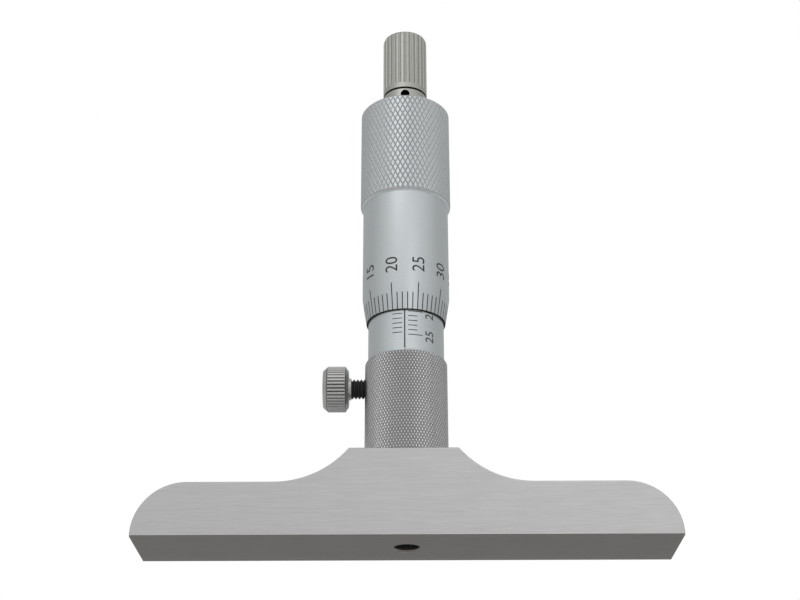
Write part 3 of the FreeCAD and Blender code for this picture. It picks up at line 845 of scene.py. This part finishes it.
class DM_OT_collar(Operator):
    """Replace the collar by one with a real diamond knurl"""
    bl_idname = "micrometer.collar"
    bl_label = "Build the collar"

    def execute(self, context):
        settings = context.scene.dm_collar
        low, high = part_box("knurled_collar")
        radius = outer_radius("knurled_collar")
        outside = [
            (radius, low.z),
            (radius, high.z - settings.chamfer),
            (radius - settings.chamfer, high.z),
        ]
        rest = [(settings.stem_radius, high.z), (settings.stem_radius, low.z)]
        vertices, faces, rows, knurled = knurled_turning(outside, rest, settings, radius)
        indices = [0 if row < knurled else 1 for row in rows]
        piece = make_piece(
            "collar_knurl", vertices, faces, ["collar_knurl", "satin_chrome"],
            "frame", indices, sharp=18.0, cutter=screw_hole(radius, settings.screw_gap),
        )
        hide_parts("knurled_collar")
        return {"FINISHED"}


class DM_OT_thimble(Operator):
    """Replace the thimble by one with a real diamond knurl"""
    bl_idname = "micrometer.thimble"
    bl_label = "Build the thimble"

    def execute(self, context):
        settings = context.scene.dm_thimble
        low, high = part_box("thimble")
        crest = outer_radius("thimble")
        lip = outer_radius("graduated_sleeve") + settings.lip_gap
        cavity = settings.plain_radius - settings.wall
        edge, top = low.z, high.z
        bevel = edge + settings.bevel
        start = edge + settings.knurl_start
        roof = top - settings.top_wall
        slope = (settings.plain_radius - settings.edge_radius) / settings.bevel
        band_radius = settings.edge_radius + slope * settings.edge_band
        outside = [
            (settings.plain_radius, start),
            (crest, start + settings.knurl_step),
            (crest, top - settings.top_chamfer),
            (crest - settings.top_chamfer, top),
        ]
        rest = [
            (settings.hole_high, top),
            (settings.hole_low, roof),
            (cavity, roof),
            (cavity, bevel),
            (lip, bevel - settings.wall),
            (lip, edge),
            (settings.edge_radius, edge),
            (band_radius, edge + settings.edge_band),
            (settings.plain_radius, bevel),
        ]
        vertices, faces, rows, knurled = knurled_turning(outside, rest, settings, crest)
        dark = range(knurled + 5, knurled + 8)
        indices = [0 if row < knurled else 2 if row in dark else 1 for row in rows]
        piece = make_piece(
            "thimble_shell", vertices, faces, ["thimble_knurl", "satin_chrome", "edge_shadow"],
            "thimble_group", indices, sharp=18.0,
        )
        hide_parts("thimble")
        return {"FINISHED"}


class DM_OT_sleeve_scale(Operator):
    """Ink the datum line, the millimetre lines and the numbers of the sleeve"""
    bl_idname = "micrometer.sleeve_scale"
    bl_label = "Ink the sleeve's scale"

    def execute(self, context):
        settings = context.scene.dm_scale
        radius = outer_radius("graduated_sleeve")
        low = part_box("graduated_sleeve")[0]
        last = low.z + settings.last_line
        lift, sink = settings.lift, settings.sink
        parts = []

        def surface(height):
            return radius

        def line(start, end, middle, width):
            parts.append(inlay(
                surface, start / radius, end / radius, middle - width / 2, middle + width / 2, lift, sink,
            ))

        half = settings.datum_width / 2
        parts.append(inlay(
            surface, (settings.datum - half) / radius, (settings.datum + half) / radius,
            low.z + settings.datum_foot, last + (SCALE_LINES - 1) * MM, lift, sink, across=2,
        ))
        for step in range(SCALE_LINES):
            height = last + step * MM
            end = settings.five_end if step % 5 == 0 else settings.whole_span[1]
            line(settings.whole_span[0], end, height, settings.line_width)
            if step < SCALE_LINES - 1:
                line(settings.half_span[0], settings.half_span[1], height + 0.5 * MM, settings.line_width)
        for step in range(0, SCALE_LINES, 5):
            shape = number_mesh(str(SCALE_LINES - 1 - step), *settings.sleeve_digit, 2 * lift)
            parts.append(wrap_number(shape, radius, settings.sleeve_digit_place, last + step * MM))
        vertices, faces = gather(parts)
        make_piece("sleeve_scale", vertices, faces, ["scale_ink"], "frame")
        return {"FINISHED"}


class DM_OT_thimble_scale(Operator):
    """Ink the fifty divisions and the numbers of the thimble"""
    bl_idname = "micrometer.thimble_scale"
    bl_label = "Ink the thimble's scale"

    def execute(self, context):
        scale = context.scene.dm_scale
        shell = context.scene.dm_thimble
        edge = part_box("thimble")[0].z
        outline = [
            (shell.edge_radius, edge),
            (shell.plain_radius, edge + shell.bevel),
            (shell.plain_radius, edge + shell.knurl_start),
        ]
        sleeve_radius = outer_radius("graduated_sleeve")
        datum = scale.datum / sleeve_radius
        parts = []

        def surface(height):
            return outline_radius(outline, height)

        half = scale.thimble_width / 2 / shell.plain_radius
        for division in range(DIVISIONS):
            angle = datum + (division - scale.reading) * TURN / DIVISIONS
            length = scale.long_line if division % 5 == 0 else scale.short_line
            parts.append(inlay(
                surface, angle - half, angle + half, edge, edge + length,
                scale.lift, scale.sink, across=2, along=8,
            ))
            if division % 5 == 0:
                shape = number_mesh(str(division), *scale.thimble_digit, 2 * scale.lift)
                place = angle * shell.plain_radius
                height = edge + scale.thimble_digit_height
                parts.append(wrap_number(shape, shell.plain_radius, place, height))
        vertices, faces = gather(parts)
        make_piece("thimble_scale", vertices, faces, ["scale_ink"], "thimble_group")
        return {"FINISHED"}


class DM_OT_lock_thread(Operator):
    """Replace the lock screw's stud by one with a real thread"""
    bl_idname = "micrometer.lock_thread"
    bl_label = "Build the lock screw's thread"

    def execute(self, context):
        settings = context.scene.dm_thread
        low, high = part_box("lock_stud")
        radius = (high.z - low.z) / 2
        axis_height = (high.z + low.z) / 2
        length = high.x - low.x
        columns = settings.columns
        rows = round(length / settings.pitch * settings.rows)
        vertices, faces = [], []
        for row in range(rows + 1):
            along = length * row / rows
            for column in range(columns):
                turn = column / columns
                part = (along / settings.pitch - turn) % 1.0
                ridge = min(1.0, settings.flank * min(part, 1.0 - part))
                reach = radius - settings.depth * (1.0 - ridge)
                angle = TURN * turn
                vertices.append(Vector((
                    low.x + along, reach * math.cos(angle), axis_height + reach * math.sin(angle),
                )))
        for row in range(rows):
            for column in range(columns):
                other = (column + 1) % columns
                first, second = row * columns, (row + 1) * columns
                faces.append([first + column, first + other, second + other, second + column])
        faces.append(list(reversed(range(columns))))
        faces.append([rows * columns + column for column in range(columns)])
        piece = make_piece(
            "lock_thread", vertices, faces, ["black_steel"], "lock_screw", sharp=40.0,
        )
        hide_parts("lock_stud")
        return {"FINISHED"}


class DM_OT_stage(Operator):
    """Set up the floor, the light and the camera"""
    bl_idname = "micrometer.stage"
    bl_label = "Set the stage"

    def execute(self, context):
        settings = context.scene.dm_stage
        self.make_floor(settings)
        self.make_room(context.scene, settings)
        self.make_lights()
        self.make_camera(context.scene, settings)
        context.scene.view_settings.view_transform = "Standard"
        return {"FINISHED"}

    def make_floor(self, settings):
        """A pale floor that is clear from below and to light that comes through it."""
        work = bmesh.new()
        bmesh.ops.create_grid(work, x_segments=8, y_segments=8, size=3.0)
        mesh = bpy.data.meshes.new("stage_floor")
        work.to_mesh(mesh)
        work.free()
        floor = bpy.data.objects.new("stage_floor", mesh)
        floor.location.z = CAD_LOW.z - settings.floor_drop
        bpy.context.scene.collection.objects.link(floor)
        paint = bpy.data.materials.new("dm_floor")
        paint.use_nodes = True
        paint.node_tree.nodes.clear()
        graph = Graph(paint.node_tree)
        output = graph.add("ShaderNodeOutputMaterial")
        solid = graph.add("ShaderNodeBsdfPrincipled", {"Roughness": 0.7})
        noise = graph.add("ShaderNodeTexNoise", {"Scale": 30.0, "Detail": 3.0})
        graph.join(graph.blend(noise.outputs["Fac"], grey(0.9), grey(0.93)), solid.inputs["Base Color"])
        clear = graph.add("ShaderNodeBsdfTransparent")
        mixed = graph.add("ShaderNodeMixShader")
        facing = graph.add("ShaderNodeNewGeometry")
        path = graph.add("ShaderNodeLightPath")
        short = graph.math("LESS_THAN", path.outputs["Ray Length"], 2 * MM)
        seen = graph.math("MAXIMUM", facing.outputs["Backfacing"], path.outputs["Is Shadow Ray"])
        graph.join(graph.math("MAXIMUM", seen, short), mixed.inputs["Fac"])
        graph.join(solid.outputs[0], mixed.inputs[1])
        graph.join(clear.outputs[0], mixed.inputs[2])
        graph.join(mixed.outputs[0], output.inputs["Surface"])
        mesh.materials.append(paint)

    def make_room(self, scene, settings):
        """White to the camera; to the metal, bright above and dim below."""
        world = bpy.data.worlds.new("dm_room")
        scene.world = world
        world.use_nodes = True
        world.node_tree.nodes.clear()
        graph = Graph(world.node_tree)
        output = graph.add("ShaderNodeOutputWorld")
        backdrop = graph.add("ShaderNodeBackground", {"Color": (1.0, 1.0, 1.0, 1.0), "Strength": 1.0})
        room = graph.add("ShaderNodeBackground", {"Strength": 1.0})
        place = graph.add("ShaderNodeTexCoord")
        parts = graph.add("ShaderNodeSeparateXYZ")
        graph.join(place.outputs["Generated"], parts.inputs[0])
        level = graph.add("ShaderNodeMapRange", interpolation_type="SMOOTHSTEP")
        level.inputs["From Min"].default_value = -0.6
        level.inputs["From Max"].default_value = 0.5
        graph.join(parts.outputs["Z"], level.inputs["Value"])
        ahead = graph.add("ShaderNodeMapRange", interpolation_type="SMOOTHSTEP")
        ahead.inputs["From Min"].default_value = 0.2
        ahead.inputs["From Max"].default_value = -1.0
        graph.join(parts.outputs["Y"], ahead.inputs["Value"])
        upper = graph.blend(ahead.outputs[0], grey(settings.sky), grey(settings.front))
        shade = graph.blend(level.outputs[0], grey(settings.ground, 0.06), upper)
        graph.join(shade, room.inputs["Color"])
        path = graph.add("ShaderNodeLightPath")
        mixed = graph.add("ShaderNodeMixShader")
        graph.join(path.outputs["Is Camera Ray"], mixed.inputs["Fac"])
        graph.join(room.outputs[0], mixed.inputs[1])
        graph.join(backdrop.outputs[0], mixed.inputs[2])
        graph.join(mixed.outputs[0], output.inputs["Surface"])

    def make_lights(self):
        """Soft lights above, and weak ones at the sides."""
        middle = (CAD_LOW + CAD_HIGH) / 2
        span = CAD_HIGH.z - CAD_LOW.z
        lamps = [
            ("key_light", (-0.8, -2.2, 2.6), 2.4, 0.1),
            ("top_light", (0.6, 0.4, 3.4), 3.0, 0.1),
            ("front_light", (0.9, -3.2, 0.4), 1.6, 0.03),
        ]
        for name, place, size, power in lamps:
            data = bpy.data.lights.new(name, "AREA")
            data.shape = "DISK"
            data.size = size * span
            data.energy = power
            lamp = bpy.data.objects.new(name, data)
            lamp.location = middle + Vector(place) * span
            lamp.rotation_euler = (middle - lamp.location).to_track_quat("-Z", "Y").to_euler()
            bpy.context.scene.collection.objects.link(lamp)

    def make_camera(self, scene, settings):
        data = bpy.data.cameras.new("main_camera")
        data.lens = settings.lens
        data.sensor_width = 36.0
        data.clip_start = 0.01
        camera = bpy.data.objects.new("main_camera", data)
        yaw, pitch, roll = settings.yaw, settings.pitch, settings.roll
        ahead = Vector((
            math.sin(yaw) * math.cos(pitch), math.cos(yaw) * math.cos(pitch), math.sin(pitch),
        ))
        level = Vector((math.cos(yaw), -math.sin(yaw), 0.0))
        upright = level.cross(ahead)
        right = level * math.cos(roll) + upright * math.sin(roll)
        up = upright * math.cos(roll) - level * math.sin(roll)
        turn = Matrix((right, up, -ahead)).transposed()
        camera.matrix_world = Matrix.Translation(Vector(settings.place)) @ turn.to_4x4()
        scene.collection.objects.link(camera)
        scene.camera = camera


class DM_PT_panel(Panel):
    """Settings and steps of the micrometer's looks"""
    bl_idname = "DM_PT_panel"
    bl_label = "Depth micrometer"
    bl_space_type = "VIEW_3D"
    bl_region_type = "UI"
    bl_category = "Micrometer"

    def draw(self, context):
        for name, group in SETTINGS.items():
            box = self.layout.box()
            for key in group.__annotations__:
                box.prop(getattr(context.scene, name), key)
        for operator in OPERATORS:
            self.layout.operator(operator.bl_idname)


OPERATORS = [
    DM_OT_materials,
    DM_OT_dress_nodes,
    DM_OT_collar,
    DM_OT_thimble,
    DM_OT_sleeve_scale,
    DM_OT_thimble_scale,
    DM_OT_lock_thread,
    DM_OT_stage,
]
CLASSES = list(SETTINGS.values()) + OPERATORS + [DM_PT_panel]


def register():
    for entry in CLASSES:
        bpy.utils.register_class(entry)
    for name, group in SETTINGS.items():
        setattr(bpy.types.Scene, name, PointerProperty(type=group))


def unregister():
    for name in SETTINGS:
        delattr(bpy.types.Scene, name)
    for entry in reversed(CLASSES):
        bpy.utils.unregister_class(entry)


def main():
    register()
    bpy.ops.micrometer.materials()
    bpy.ops.micrometer.dress_nodes()
    bpy.ops.micrometer.collar()
    bpy.ops.micrometer.thimble()
    bpy.ops.micrometer.sleeve_scale()
    bpy.ops.micrometer.thimble_scale()
    bpy.ops.micrometer.lock_thread()
    bpy.ops.micrometer.stage()


if __name__ == "__main__":
    main()
